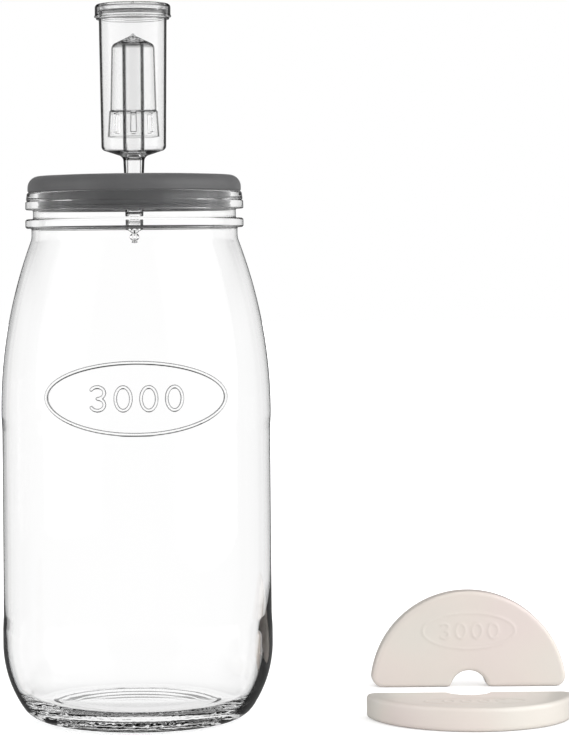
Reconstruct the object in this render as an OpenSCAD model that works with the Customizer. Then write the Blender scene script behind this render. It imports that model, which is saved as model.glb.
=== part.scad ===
// Fermentation jar: a glass jar, a soft stopper lid, a three-piece water airlock and two half-disc weights.
// The jar stands on z = 0 with its axis on Z, the front is -Y, and the weights are to its right.
// All lengths are in millimetres.

/* [Jar] */
// Diameter over the contact bands
jar_d = 137.6; // [134:0.2:142]
// Height from the surface to the top of the rim
jar_h = 268; // [260:1:280]
// Wall thickness of the body, shoulder and neck
jar_wall = 3; // [2.4:0.1:3.4]
// Depth of the label panel below the contact bands
panel_inset = 0.4; // [0.2:0.1:0.6]
// Height of the contact band between the heel and the panel
lower_band_h = 9.5; // [5:0.5:25]
// Height of the contact band between the panel and the shoulder
upper_band_h = 4; // [2:0.5:30]
// Height at which the shoulder starts to lean in
shoulder_z = 156; // [154:1:165]
// Height at which the heel starts to curve under
heel_z = 38.5; // [36:0.5:41]
// Radius of the heel's long flank
heel_flank_r = 57; // [52:1:64]
// Radius of the heel's short corner above the bearing ring
heel_corner_r = 14.5; // [12:0.5:17]

/* [Jar base] */
// Thickness of the glass from the surface to the inner floor
floor_t = 8; // [6.5:0.5:10]
// Radius of the inner corner between floor and wall
floor_corner_r = 16; // [13:0.5:19]
// Width of the flat bearing ring
ring_w = 3; // [2:0.5:4]
// Rise of the push-up at its crown
punt_h = 4; // [2.5:0.25:5]

/* [Jar finish] */
// Outer diameter of the neck
neck_d = 105.2; // [103:0.2:107]
// Height of the straight neck below the transfer bead
neck_h = 3.8; // [2.5:0.1:6]
// Radius of the hollow where the shoulder turns into the neck
neck_fillet_r = 8; // [5:0.5:12]
// Diameter of the rim ridges and the transfer bead
rim_d = 111.4; // [110:0.2:113]
// Height of each of the two rim ridges
ridge_h = 4.5; // [4:0.1:5]
// Depth of the fine groove between the ridges
ridge_groove = 0.9; // [0.5:0.1:1.2]
// Diameter at the bottom of the wire groove
wire_groove_d = 103.6; // [102:0.2:105]
// Height of the wire groove
wire_groove_h = 4.7; // [4:0.1:6]
// Height of the transfer bead
bead_h = 4.8; // [4:0.1:6]

/* [Stopper lid] */
// Diameter of the flange
lid_d = 109; // [106:0.5:112]
// Thickness of the flange at its crown
lid_t = 9.2; // [8:0.1:11]
// Fall of the flange's top from the crown to the edge
lid_fall = 1.2; // [0.6:0.1:1.8]
// Radius of the flange's big top edge
lid_edge_r = 6; // [4:0.5:6.5]
// Depth of the plug below the flange
plug_h = 9.1; // [8:0.1:11]
// Number of sealing ribs on the lower half of the plug
plug_ribs = 2; // [1:1:3]
// Depth of the grooves between the ribs
rib_depth = 1.1; // [0.6:0.1:1.6]
// Radial clearance between the ribs and the mouth
plug_fit = 0.1; // [0.05:0.01:0.2]
// Thickness of the plug's skirt around the hollow
skirt_t = 7; // [5:0.5:10]
// Radius of the boss around the airlock's stem
boss_r = 11; // [9:0.5:15]
// Depth of the hollow in the plug
hollow_h = 6.5; // [5:0.5:7.5]

/* [Airlock cup] */
// Diameter of the stem where the lid grips it
stem_d = 9.5; // [9:0.1:10]
// Radial running clearance of the stem in the lid
stem_fit = 0.05; // [0.02:0.01:0.1]
// Width of the shoulder that stops the stem on the lid
stem_shoulder = 0.35; // [0.25:0.05:0.6]
// Wall of the stem at its lower end
stem_wall = 1.2; // [1:0.05:1.5]
// Length of the stem above the lid, up to the cup's floor
stem_above = 8.7; // [7:0.1:14]
// Length of the stem below the plug, down to the vaned tip
stem_below = 10.4; // [8:0.1:14]
// Height of the cup from its floor to its rim
cup_h = 76.5; // [70:0.5:90]
// Outer diameter of the cup at the rim
cup_top_d = 34.8; // [34:0.1:36]
// Outer diameter of the cup at the floor
cup_bottom_d = 33; // [32:0.1:34]
// Wall of the cup
cup_wall = 1.15; // [0.9:0.05:1.4]
// Outer diameter of the chimney
chimney_d = 11; // [10.6:0.1:11.6]
// Height of the chimney above the floor
chimney_h = 58.6; // [54:0.2:64]
// Wall of the chimney at its top
chimney_wall = 1.2; // [0.9:0.05:1.4]
// Fall of the conical floor from the wall to the stem, in degrees
floor_fall = 18; // [10:1:24]
// Diameter of the ledge below the cap
ledge_d = 37.4; // [36.6:0.1:38]
// Thickness of the ledge
ledge_t = 0.9; // [0.6:0.1:1.4]

/* [Drip tip] */
// Diameter of the ball formed by the four vanes
tip_ball_d = 5.8; // [5:0.1:7]
// Diameter of the waist above the ball
tip_waist_d = 2.4; // [2:0.1:3.6]
// Drop from the stem's end to the waist
tip_waist_drop = 1.8; // [1.4:0.1:3]
// Thickness of each vane
vane_t = 1.1; // [0.8:0.1:1.5]

/* [Airlock bell] */
// Outer diameter of the bell below its round shoulder
bell_top_d = 22.1; // [21:0.1:23]
// Outer diameter of the bell at the step
bell_step_d = 23.7; // [23.2:0.1:24.4]
// Outer diameter of the skirt below the step
skirt_top_d = 24.9; // [24.6:0.1:25.6]
// Outer diameter of the skirt at its rim
skirt_bottom_d = 26.6; // [25.8:0.1:27.4]
// Height of the bell from the rim to the cone's point
bell_h = 52.5; // [48:0.5:53]
// Height of the slotted skirt
skirt_h = 13.2; // [11:0.2:16]
// Slope of the cone, in degrees
cone_slope = 26; // [20:1:30]
// Wall of the bell
bell_wall = 1; // [0.8:0.05:1.2]
// Number of slots in the skirt
slots = 8; // [4:1:10]
// Width of each slot
slot_w = 2.6; // [1.6:0.1:3]
// Height of the solid ring below the slots
slot_ring_h = 2.6; // [2:0.1:4]
// Height of each slot
slot_h = 9.4; // [6:0.1:9.4]

/* [Airlock cap] */
// Outer diameter of the cap
cap_d = 38.7; // [38.5:0.1:40]
// Diameter over the flared lip
cap_lip_d = 39.4; // [39.2:0.1:41]
// Height of the cap
cap_h = 6.7; // [6:0.1:9]
// Thickness of the cap's disc
cap_t = 1.5; // [1.2:0.1:2]
// Wall of the cap's skirt
cap_wall = 1.2; // [0.9:0.1:1.3]
// Radial clearance between the cap and the cup's rim bead
cap_fit = 0.08; // [0.04:0.01:0.15]
// Gap between the cap's lip and the ledge on the cup
cap_gap = 0.3; // [0.1:0.1:0.8]
// Number of vent holes
vents = 5; // [3:1:8]
// Diameter of each vent hole
vent_d = 1.5; // [1:0.1:2]
// Diameter of the circle that the vents lie on
vent_ring_d = 24; // [16:0.5:26]

/* [Weights] */
// Diameter of the disc that the two halves make
weight_d = 105.6; // [100:0.2:110]
// Thickness of a half
weight_t = 12; // [9:0.5:15]
// Diameter of the hole that the two halves share
weight_hole_d = 19.8; // [16:0.2:26]
// Distance from each straight edge to the disc's centre
weight_setback = 1.1; // [0.5:0.1:3]
// Radius of the outer corners in plan
weight_corner_r = 5.6; // [4:0.2:8]
// Radius of the corners at the hole in plan
weight_notch_r = 2.5; // [2.2:0.1:4]
// Radius of the soft edges
weight_edge_r = 2; // [1:0.1:2]
// Distance of the standing half to the right of the jar's axis
standing_x = 179; // [150:1:190]
// Distance of the standing half behind the jar's axis
standing_y = 90; // [60:1:96]
// Distance of the lying half to the right of the jar's axis
lying_x = 168; // [140:1:180]
// Distance of the lying half's straight edge behind the jar's axis
lying_y = -5; // [-12:1:12]

/* [Hidden] */
$fn = 96;

glass = [0.86, 0.92, 0.91, 0.4];
clear = [0.9, 0.93, 0.95, 0.45];
silicone = [0.45, 0.45, 0.46];
ceramic = [0.9, 0.87, 0.83];

// Jar radii
body_r = jar_d / 2;
neck_r = neck_d / 2;
rim_r = rim_d / 2;
mouth_r = neck_r - jar_wall;
panel_slope = 3;
panel_bottom = heel_z + lower_band_h;
panel_top = shoulder_z - upper_band_h;
ring_rounding = 1;
bead_rounding = 1.2;
ridge_rounding = 0.8;
rim_rounding = 1.4;

// Heights of the finish, from the rim down
groove_top = jar_h - 2 * ridge_h;
bead_top = groove_top - wire_groove_h;
bead_bottom = bead_top - bead_h;
neck_z = bead_bottom - neck_h;

// The heel's flank turns about heel_c, the shoulder about shoulder_c and the neck's hollow about hollow_c
heel_c = [body_r - heel_flank_r, heel_z];
hollow_c = [neck_r + neck_fillet_r, neck_z];
shoulder_in = hollow_c.x - body_r;
shoulder_rise = neck_z - shoulder_z;
shoulder_r = (pow(shoulder_in, 2) + pow(shoulder_rise, 2) - pow(neck_fillet_r, 2)) / (2 * (body_r - neck_r));
shoulder_c = [body_r - shoulder_r, shoulder_z];
shoulder_turn = atan2(hollow_c.y - shoulder_c.y, hollow_c.x - shoulder_c.x);

// Stopper lid
lid_top = jar_h + lid_t;
plug_bottom = jar_h - plug_h;
plug_r = mouth_r - plug_fit;
rib_pitch = plug_h / 2 / plug_ribs;
lid_land_r = 8;
hole_r = stem_d / 2 + stem_fit;

// Airlock cup: the floor is a cone whose point would lie at the stem
stem_r = stem_d / 2;
stem_end = plug_bottom - stem_below;
stem_taper = 0.35;
stem_flare = 0.75;
stem_end_r = stem_r - stem_taper;
stem_top_r = stem_r + stem_flare;
stem_bore_r = stem_end_r - stem_wall;
floor_z = lid_top + stem_above;
rim_z = floor_z + cup_h;
cup_top_r = cup_top_d / 2;
cup_bottom_r = cup_bottom_d / 2;
floor_rise = (cup_bottom_r - stem_top_r) * tan(floor_fall);
chimney_r = chimney_d / 2;
chimney_bore_r = chimney_r - chimney_wall;
chimney_top = floor_z + chimney_h;
chimney_foot = 0.6;
bore_lip = 1.5;
cap_top = rim_z + cap_t;
ledge_top = cap_top - cap_h - cap_gap;
cap_bore_r = cap_d / 2 - cap_wall;
rim_bead_r = cap_bore_r - cap_fit;
rim_bead_h = 2;
cap_corner_r = 0.4;

// Airlock bell: its cone hangs on the chimney's rim
seat_gap = 0.08;
bell_seat = chimney_top + seat_gap;
cone_t = bell_wall / cos(cone_slope);
apex_z = bell_seat + chimney_r * tan(cone_slope) + cone_t;
bell_rim = apex_z - bell_h;
skirt_top = bell_rim + skirt_h;
bell_shoulder_z = apex_z - bell_top_d / 2 * tan(cone_slope);
bell_shoulder_r = 3.3;
step_h = 1.8;

// Points of an arc about c, from angle a to angle b
function arc(c, r, a, b, steps = 12) =
    [for (i = [0 : steps]) let (t = a + (b - a) * i / steps) c + r * [cos(t), sin(t)]];

// Unit vector from a to b
function toward(a, b) = (b - a) / norm(b - a);

// An angle brought into the range -180 to 180
function turn(a) = (a + 900) % 360 - 180;

// Points that round the corner b, between a and c, with radius r
function rounded(a, b, c, r, steps = 5) =
    let (
        u = toward(b, a),
        v = toward(b, c),
        half = acos(u * v) / 2,
        centre = b + toward([0, 0], u + v) * r / sin(half),
        first = b + u * r / tan(half) - centre,
        last = b + v * r / tan(half) - centre,
        start = atan2(first.y, first.x)
    )
    arc(centre, r, start, start + turn(atan2(last.y, last.x) - start), steps);

// An outline from corners [x, y] or [x, y, rounding radius]
function outline(corners) =
    let (n = len(corners), at = function(i) [corners[i].x, corners[i].y])
    [for (i = [0 : n - 1])
        each is_undef(corners[i][2])
            ? [at(i)]
            : rounded(at((i + n - 1) % n), at(i), at((i + 1) % n), corners[i][2])];

// The heel's compound curve, from the floor up to the wall
function heel(flank_r, corner_r, z) =
    let (
        corner_c = [heel_c.x + sqrt(pow(flank_r - corner_r, 2) - pow(heel_c.y - z - corner_r, 2)), z + corner_r],
        turn = atan2(corner_c.y - heel_c.y, corner_c.x - heel_c.x)
    )
    concat(arc(corner_c, corner_r, -90, turn, 10), arc(heel_c, flank_r, turn, 0, 12));

// The shoulder and the hollow under the neck, inset into the wall
function shoulder(inset) =
    concat(
        arc(shoulder_c, shoulder_r - inset, 0, shoulder_turn, 18),
        arc(hollow_c, neck_fillet_r + inset, 180 + shoulder_turn, 180, 5));

function reversed(points) = [for (i = [len(points) - 1 : -1 : 0]) points[i]];

// Solid of revolution of a list of corners
module turned(corners) {
    rotate_extrude() polygon(outline(corners));
}

module glass_jar() {
    heel_line = heel(heel_flank_r, heel_corner_r, 0);
    ring_r = heel_line[0].x - ring_w;
    color(glass)
        turned(concat(
            // push-up and bearing ring
            [[0, punt_h], [ring_r * 0.72, punt_h * 0.8, 20], [ring_r - 2.5, punt_h * 0.45, 2], [ring_r, 0, ring_rounding]],
            heel_line,
            // recessed label panel between the contact bands
            [[body_r, panel_bottom, 6], [body_r - panel_inset, panel_bottom + panel_slope, 6],
             [body_r - panel_inset, panel_top - panel_slope, 6], [body_r, panel_top, 6]],
            shoulder(0),
            // transfer bead, wire groove and the two rim ridges
            [[neck_r, bead_bottom, ridge_rounding], [rim_r, bead_bottom, bead_rounding],
             [rim_r, bead_top, bead_rounding], [wire_groove_d / 2, bead_top, ridge_rounding],
             [wire_groove_d / 2, groove_top, ridge_rounding], [rim_r, groove_top, ridge_rounding],
             [rim_r - 0.1, groove_top + ridge_h - ridge_groove / 2, ridge_rounding / 2],
             [rim_r - ridge_groove, groove_top + ridge_h],
             [rim_r - 0.4, groove_top + ridge_h + ridge_groove / 2, ridge_rounding / 2],
             [rim_r - 0.9, jar_h, rim_rounding], [mouth_r, jar_h, rim_rounding]],
            // inside, from the neck down to the floor
            reversed(shoulder(jar_wall)),
            reversed(heel(heel_flank_r - jar_wall, floor_corner_r, floor_t)),
            [[0, floor_t]]));
}

module stopper_lid() {
    skirt_r = plug_r - skirt_t;
    hollow_top = plug_bottom + hollow_h;
    color(silicone)
        turned(concat(
            // flange
            [[hole_r, lid_top], [lid_land_r, lid_top], [lid_d / 2 * 0.7, lid_top - lid_fall * 0.45, 60],
             [lid_d / 2, lid_top - lid_fall, lid_edge_r], [lid_d / 2, jar_h, 0.8],
             [plug_r, jar_h, 0.3], [plug_r, plug_bottom + plug_ribs * rib_pitch + 0.3, 0.3]],
            // sealing ribs, each with a slow lead-in below and a sharp groove above
            [for (i = [plug_ribs : -1 : 1]) each
                let (top = plug_bottom + i * rib_pitch)
                [[plug_r - rib_depth, top, 0.2], [plug_r, top - rib_pitch * 0.3, 0.3],
                 [plug_r - rib_depth * 0.5, top - rib_pitch * 0.9]]],
            [[plug_r - rib_depth, plug_bottom, 0.4]],
            // hollow between the skirt and the boss
            [[skirt_r + 0.6, plug_bottom, 0.5], [skirt_r, hollow_top, 2], [boss_r + 0.4, hollow_top, 2],
             [boss_r, plug_bottom, 0.5], [hole_r, plug_bottom]]));
}

// Four vanes that close the stem's end and gather the drips
module drip_tip() {
    ball_r = tip_ball_d / 2;
    waist_r = tip_waist_d / 2;
    waist_z = stem_end - tip_waist_drop;
    ball_z = waist_z - sqrt(pow(ball_r, 2) - pow(waist_r, 2));
    reach = 3;
    intersection() {
        rotate_extrude()
            polygon(concat(
                [[0, stem_end + reach], [stem_end_r - stem_wall / 2, stem_end + reach],
                 [stem_end_r - stem_wall / 2, stem_end], [stem_end_r, stem_end]],
                arc([0, ball_z], ball_r, acos(waist_r / ball_r), -90, 14)));
        for (side = [0, 90])
            rotate(side + 45)
                translate([-stem_r, -vane_t / 2, ball_z - ball_r])
                    cube([2 * stem_r, vane_t, stem_end + reach - ball_z + ball_r]);
    }
}

module airlock_cup() {
    floor_inner = floor_z + cup_wall / cos(floor_fall);
    wall_lean = (cup_top_r - cup_bottom_r) / (cup_h - floor_rise);
    ledge_r = cup_top_r - (rim_z - ledge_top) * wall_lean;
    foot_r = chimney_r + chimney_foot;
    bore_step = floor_z + bore_lip;
    color(clear) {
        turned([
            // stem, with the shoulder that rests on the lid
            [stem_end_r, stem_end], [stem_r, plug_bottom - 1], [stem_r, lid_top],
            [stem_r + stem_shoulder, lid_top], [stem_top_r, floor_z, 3],
            // conical floor and tapered wall
            [cup_bottom_r, floor_z + floor_rise, 2.5],
            [ledge_r, ledge_top - ledge_t], [ledge_d / 2, ledge_top - ledge_t, 0.3], [ledge_d / 2, ledge_top, 0.3],
            [ledge_r, ledge_top],
            // rim bead under the cap
            [cup_top_r, rim_z - rim_bead_h - 0.6], [rim_bead_r, rim_z - rim_bead_h, 0.3],
            [rim_bead_r, rim_z, cap_corner_r + 0.3], [cup_top_r - cup_wall, rim_z, 0.3],
            // inside of the wall and floor
            [cup_bottom_r - cup_wall, floor_z + floor_rise, 2],
            [foot_r, floor_inner + (foot_r - stem_top_r) * tan(floor_fall), 1],
            // chimney, whose rim carries the bell's cone
            [chimney_r, floor_inner + 4], [chimney_r, chimney_top],
            [chimney_bore_r, chimney_top + chimney_wall * tan(cone_slope)],
            [chimney_bore_r, bore_step + 6], [stem_bore_r + 0.4, bore_step],
            [stem_bore_r, stem_end]]);
        drip_tip();
    }
}

module airlock_bell() {
    wall_r = bell_top_d / 2;
    step_r = bell_step_d / 2;
    skirt_r = skirt_top_d / 2;
    rim_r = skirt_bottom_d / 2;
    inner_step = skirt_top - bell_wall * 0.6;
    color(clear)
        difference() {
            turned([
                [0, apex_z + 0.5], [0.6, apex_z + 0.3], [0.9, apex_z - 0.9 * tan(cone_slope)],
                [wall_r, bell_shoulder_z, bell_shoulder_r], [step_r, skirt_top + step_h, 0.8],
                [skirt_r, skirt_top, 1], [rim_r, bell_rim, 0.3], [rim_r - bell_wall, bell_rim, 0.3],
                [skirt_r - bell_wall, inner_step, 0.6], [step_r - bell_wall, inner_step + step_h, 0.8],
                [wall_r - bell_wall, bell_shoulder_z - cone_t + bell_wall * tan(cone_slope), bell_shoulder_r - bell_wall],
                [0, apex_z - cone_t]]);
            for (i = [0 : slots - 1])
                rotate(i * 360 / slots - 90)
                    translate([step_r - 2 * bell_wall, -slot_w / 2, bell_rim + slot_ring_h])
                        cube([3 * bell_wall + rim_r - step_r, slot_w, slot_h]);
        }
}

module airlock_cap() {
    lip_bottom = cap_top - cap_h;
    color(clear)
        difference() {
            turned([
                [0, cap_top], [cap_d / 2, cap_top, 1.9], [cap_d / 2, lip_bottom + 1.1, 0.5],
                [cap_lip_d / 2, lip_bottom + 0.4, 0.2], [cap_lip_d / 2, lip_bottom],
                [cap_bore_r + 0.2, lip_bottom, 0.2], [cap_bore_r, lip_bottom + 1.2],
                [cap_bore_r, rim_z, cap_corner_r], [0, rim_z]]);
            for (i = [0 : vents - 1])
                rotate(i * 360 / vents)
                    translate([vent_ring_d / 2, 0, rim_z - 1])
                        cylinder(d = vent_d, h = cap_t + 2);
        }
}

// Round slab with soft edges, lying on z = 0
module coin(r) {
    turned([[0, 0], [r, 0, weight_edge_r], [r, weight_t, weight_edge_r], [0, weight_t]]);
}

// What a round corner about c takes off the sharp one, which lies between the directions a and b from c
module corner_cut(c, a, b, r) {
    reach = 2 * r;
    over = 1;
    for (side = [0, 1])
        mirror([side, 0, 0])
            difference() {
                translate([0, 0, -over]) linear_extrude(weight_t + 2 * over)
                    polygon([c, c + reach * a, c + reach * (a + b), c + reach * b]);
                translate([c.x, c.y, 0]) coin(r);
            }
}

// Half disc lying on z = 0 with its straight edge facing -Y
module weight() {
    disc_r = weight_d / 2;
    hole_r = weight_hole_d / 2;
    over = 1;
    // The outer corners turn about outer_c, inside the disc, and those at the hole about inner_c, outside it
    outer_c = [sqrt(pow(disc_r - weight_corner_r, 2) - pow(weight_setback + weight_corner_r, 2)),
               weight_setback + weight_corner_r];
    inner_c = [sqrt(pow(hole_r + weight_notch_r, 2) - pow(weight_setback + weight_notch_r, 2)),
               weight_setback + weight_notch_r];
    difference() {
        difference() {
            intersection() {
                coin(disc_r);
                // straight side
                translate([-disc_r, 0, 0]) rotate([90, 0, 90]) linear_extrude(weight_d)
                    polygon(outline([
                        [weight_setback, 0, weight_edge_r], [disc_r + over, 0],
                        [disc_r + over, weight_t], [weight_setback, weight_t, weight_edge_r]]));
            }
            // half of the finger hole, flared to a soft edge at both faces
            rotate_extrude()
                polygon(concat(
                    [[0, -over], [hole_r + weight_edge_r, -over]],
                    arc([hole_r + weight_edge_r, weight_edge_r], weight_edge_r, 270, 180, 5),
                    arc([hole_r + weight_edge_r, weight_t - weight_edge_r], weight_edge_r, 180, 90, 5),
                    [[hole_r + weight_edge_r, weight_t + over], [0, weight_t + over]]));
            corner_cut(outer_c, [0, -1], outer_c / norm(outer_c), weight_corner_r);
        }
        corner_cut(inner_c, [0, -1], -inner_c / norm(inner_c), weight_notch_r);
    }
}

module weight_standing() {
    color(ceramic)
        translate([standing_x, standing_y + weight_t / 2, -weight_setback])
            rotate([90, 0, 0]) weight();
}

module weight_lying() {
    color(ceramic)
        translate([lying_x, lying_y + weight_setback, 0])
            rotate(180) weight();
}

glass_jar();
stopper_lid();
airlock_cup();
airlock_bell();
airlock_cap();
weight_standing();
weight_lying();
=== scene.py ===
import math

import bmesh
import bpy
from mathutils import Matrix, Vector


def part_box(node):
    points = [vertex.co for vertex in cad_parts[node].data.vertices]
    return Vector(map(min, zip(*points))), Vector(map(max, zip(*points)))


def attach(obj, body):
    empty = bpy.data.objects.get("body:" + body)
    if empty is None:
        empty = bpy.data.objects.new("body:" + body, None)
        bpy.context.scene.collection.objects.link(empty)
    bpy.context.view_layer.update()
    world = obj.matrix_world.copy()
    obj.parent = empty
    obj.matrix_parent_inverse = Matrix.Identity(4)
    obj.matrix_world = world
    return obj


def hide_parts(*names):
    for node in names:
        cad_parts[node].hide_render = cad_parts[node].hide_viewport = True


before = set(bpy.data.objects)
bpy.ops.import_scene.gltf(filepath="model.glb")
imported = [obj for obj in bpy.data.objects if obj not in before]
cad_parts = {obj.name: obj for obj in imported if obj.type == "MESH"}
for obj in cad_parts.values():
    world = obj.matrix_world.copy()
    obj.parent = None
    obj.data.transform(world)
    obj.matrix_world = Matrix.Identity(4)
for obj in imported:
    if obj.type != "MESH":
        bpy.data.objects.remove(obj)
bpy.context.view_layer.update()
mm = 0.001
print("frame loaded")


# Camera: level, at the photograph's height and distance, with the frame shifted and rolled as it is there

picture = dict(
    width=569, height=735,            # pixels
    focal=2800,                       # pixels
    sensor=36,                        # millimetres, only a scale for the focal length
    axisColumn=134.6, horizonRow=243.0,
    distance=1430.8 * mm, eyeHeight=241.8 * mm,
    roll=0.5,                         # degrees, the top leans to the left
)


def makeCamera():
    data = bpy.data.cameras.new("camera")
    data.sensor_width = picture["sensor"]
    data.lens = picture["focal"] / picture["height"] * picture["sensor"]
    data.shift_x = (picture["width"] / 2 - picture["axisColumn"]) / picture["height"]
    data.shift_y = -(picture["height"] / 2 - picture["horizonRow"]) / picture["height"]
    camera = bpy.data.objects.new("camera", data)
    level = Matrix.Rotation(math.radians(90), 4, "X")
    tilt = Matrix.Rotation(math.radians(-picture["roll"]), 4, "Z")
    camera.matrix_world = Matrix.Translation((0, -picture["distance"], picture["eyeHeight"])) @ level @ tilt
    bpy.context.scene.collection.objects.link(camera)
    bpy.context.scene.camera = camera


makeCamera()
print("camera placed")


# Outlines: corners in millimetres, [radius, height] or [radius, height, rounding]

def arcPoints(centre, radius, start, end, pitch=0.6, least=4):
    steps = max(least, math.ceil(abs(math.radians(end - start)) * radius / pitch))
    angles = [math.radians(start + (end - start) * i / steps) for i in range(steps + 1)]
    return [(centre[0] + radius * math.cos(a), centre[1] + radius * math.sin(a)) for a in angles]


def roundedCorner(before, corner, after, radius):
    here = Vector(corner)
    u = (Vector(before) - here).normalized()
    v = (Vector(after) - here).normalized()
    half = u.angle(v) / 2
    centre = here + (u + v).normalized() * radius / math.sin(half)
    first = here + u * radius / math.tan(half) - centre
    last = here + v * radius / math.tan(half) - centre
    start = math.degrees(math.atan2(first.y, first.x))
    sweep = (math.degrees(math.atan2(last.y, last.x)) - start + 540) % 360 - 180
    return arcPoints(centre, radius, start, start + sweep, pitch=0.25, least=5)


def roundedOutline(corners):
    points = []
    for i, corner in enumerate(corners):
        if len(corner) < 3:
            points.append(tuple(corner))
            continue
        before = corners[i - 1][:2]
        after = corners[(i + 1) % len(corners)][:2]
        points += roundedCorner(before, corner[:2], after, corner[2])
    return points


def subdivided(points, pitch, low=-1e9, high=1e9):
    # Long stretches between the heights low and high get points every pitch
    out = [points[0]]
    for a, b in zip(points, points[1:]):
        length = math.dist(a, b)
        inside = low <= (a[1] + b[1]) / 2 <= high or min(a[1], b[1]) < low < high < max(a[1], b[1])
        steps = max(1, math.ceil(length / pitch)) if inside else 1
        for k in range(1, steps + 1):
            out.append((a[0] + (b[0] - a[0]) * k / steps, a[1] + (b[1] - a[1]) * k / steps))
    return out


# Small helpers for meshes and node trees

def link(obj):
    bpy.context.scene.collection.objects.link(obj)
    return obj


def wireObject(name, lines):
    # lines: lists of points in metres, each an open line
    mesh = bpy.data.meshes.new(name)
    points, edges = [], []
    for line in lines:
        edges += [(len(points) + k, len(points) + k + 1) for k in range(len(line) - 1)]
        points += line
    mesh.from_pydata(points, edges, [])
    return link(bpy.data.objects.new(name, mesh))


def addNode(tree, kind, inputs=(), **settings):
    node = tree.nodes.new(kind)
    for key, value in settings.items():
        setattr(node, key, value)
    for key, value in dict(inputs).items():
        if isinstance(value, bpy.types.NodeSocket):
            tree.links.new(value, node.inputs[key])
        else:
            node.inputs[key].default_value = value
    return node


def maths(tree, operation, *values):
    return addNode(tree, "ShaderNodeMath", dict(enumerate(values)), operation=operation).outputs[0]


def product(tree, first, *others):
    for value in others:
        first = maths(tree, "MULTIPLY", first, value)
    return first


def total(tree, first, *others):
    for value in others:
        first = maths(tree, "ADD", first, value)
    return first


def mapped(tree, value, start, end, first, last, smooth=False):
    # While value goes from start to end, the result goes from first to last, and it stays there beyond
    return addNode(tree, "ShaderNodeMapRange", {
        "Value": value, "From Min": start, "From Max": end, "To Min": first, "To Max": last},
        interpolation_type="SMOOTHSTEP" if smooth else "LINEAR").outputs[0]


def vectorMaths(tree, operation, inputs):
    return addNode(tree, "ShaderNodeVectorMath", inputs, operation=operation).outputs


def parted(tree, vector):
    return addNode(tree, "ShaderNodeSeparateXYZ", {0: vector}).outputs


def joined(tree, **parts):
    return addNode(tree, "ShaderNodeCombineXYZ", parts).outputs[0]


def newTree(name, sockets):
    # sockets: name -> (socket type, value)
    tree = bpy.data.node_groups.new(name, "GeometryNodeTree")
    tree.interface.new_socket("Geometry", in_out="OUTPUT", socket_type="NodeSocketGeometry")
    tree.interface.new_socket("Geometry", in_out="INPUT", socket_type="NodeSocketGeometry")
    for key, (kind, value) in sockets.items():
        socket = tree.interface.new_socket(key, in_out="INPUT", socket_type=kind)
        if value is not None:
            socket.default_value = value
    given = tree.nodes.new("NodeGroupInput").outputs
    return tree, {socket.name: socket for socket in given if socket.name}


def finishTree(tree, geometry, material):
    whole = addNode(tree, "GeometryNodeRealizeInstances", {"Geometry": geometry}).outputs[0]
    dressed = addNode(tree, "GeometryNodeSetMaterial", {"Geometry": whole, "Material": material}).outputs[0]
    addNode(tree, "NodeGroupOutput", {"Geometry": dressed})


def baked(obj, name, tree=None, values=()):
    # Runs a tree on obj, with its inputs set by identifier, and returns the plain mesh as a new object
    if tree:
        modifier = obj.modifiers.new(tree.name, "NODES")
        modifier.node_group = tree
        idents = {s.name: s.identifier for s in tree.interface.items_tree if s.in_out == "INPUT"}
        for key, value in dict(values).items():
            modifier[idents[key]] = value
    graph = bpy.context.evaluated_depsgraph_get()
    mesh = bpy.data.meshes.new_from_object(obj.evaluated_get(graph))
    old = obj.data
    bpy.data.objects.remove(obj)
    if old.users == 0:
        bpy.data.meshes.remove(old)
    mesh.name = name
    return link(bpy.data.objects.new(name, mesh))


def smoothed(obj, sharpAngle):
    # Repaired, and smooth across soft edges, with normals that follow the large faces, so that straight
    # walls refract evenly
    fixNormals(obj)
    obj.data.shade_smooth()
    obj.data.set_sharp_from_angle(angle=math.radians(sharpAngle))
    weighted = obj.modifiers.new("weighted", "WEIGHTED_NORMAL")
    weighted.keep_sharp = True
    return baked(obj, obj.name)


def triangles(obj):
    return sum(len(p.vertices) - 2 for p in obj.data.polygons)


def place(obj, body, node, material):
    obj.data.materials.clear()
    obj.data.materials.append(material)
    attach(obj, body)
    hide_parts(node)
    print(obj.name, triangles(obj), "triangles")


# Materials

def newMaterial(name):
    material = bpy.data.materials.new(name)
    material.use_nodes = True
    tree = material.node_tree
    shader = tree.nodes["Principled BSDF"]
    return material, tree, shader


def objectCoords(tree):
    return tree.nodes.new("ShaderNodeTexCoord").outputs["Object"]


def noiseValue(tree, vector, scale, detail):
    return addNode(tree, "ShaderNodeTexNoise", {
        "Vector": vector, "Scale": scale, "Detail": detail}).outputs["Fac"]


def bumped(tree, shader, height, strength, depth):
    bump = addNode(tree, "ShaderNodeBump", {"Strength": strength, "Distance": depth, "Height": height})
    tree.links.new(bump.outputs[0], shader.inputs["Normal"])


def letThrough(tree, shader, rays, color=(1, 1, 1)):
    # The surface is clear to these rays
    clear = addNode(tree, "ShaderNodeBsdfTransparent", {"Color": (*color, 1)})
    mixed = addNode(tree, "ShaderNodeMixShader", {0: rays, 1: shader.outputs[0], 2: clear.outputs[0]})
    tree.links.new(mixed.outputs[0], tree.nodes["Material Output"].inputs["Surface"])


def ramp(tree, value, stops):
    node = addNode(tree, "ShaderNodeValToRGB", {"Fac": value})
    elements = node.color_ramp.elements
    while len(elements) < len(stops):
        elements.new(0.5)
    for element, (at, color) in zip(elements, stops):
        element.position = at
        element.color = (*color, 1)
    return node.outputs["Color"]


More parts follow.
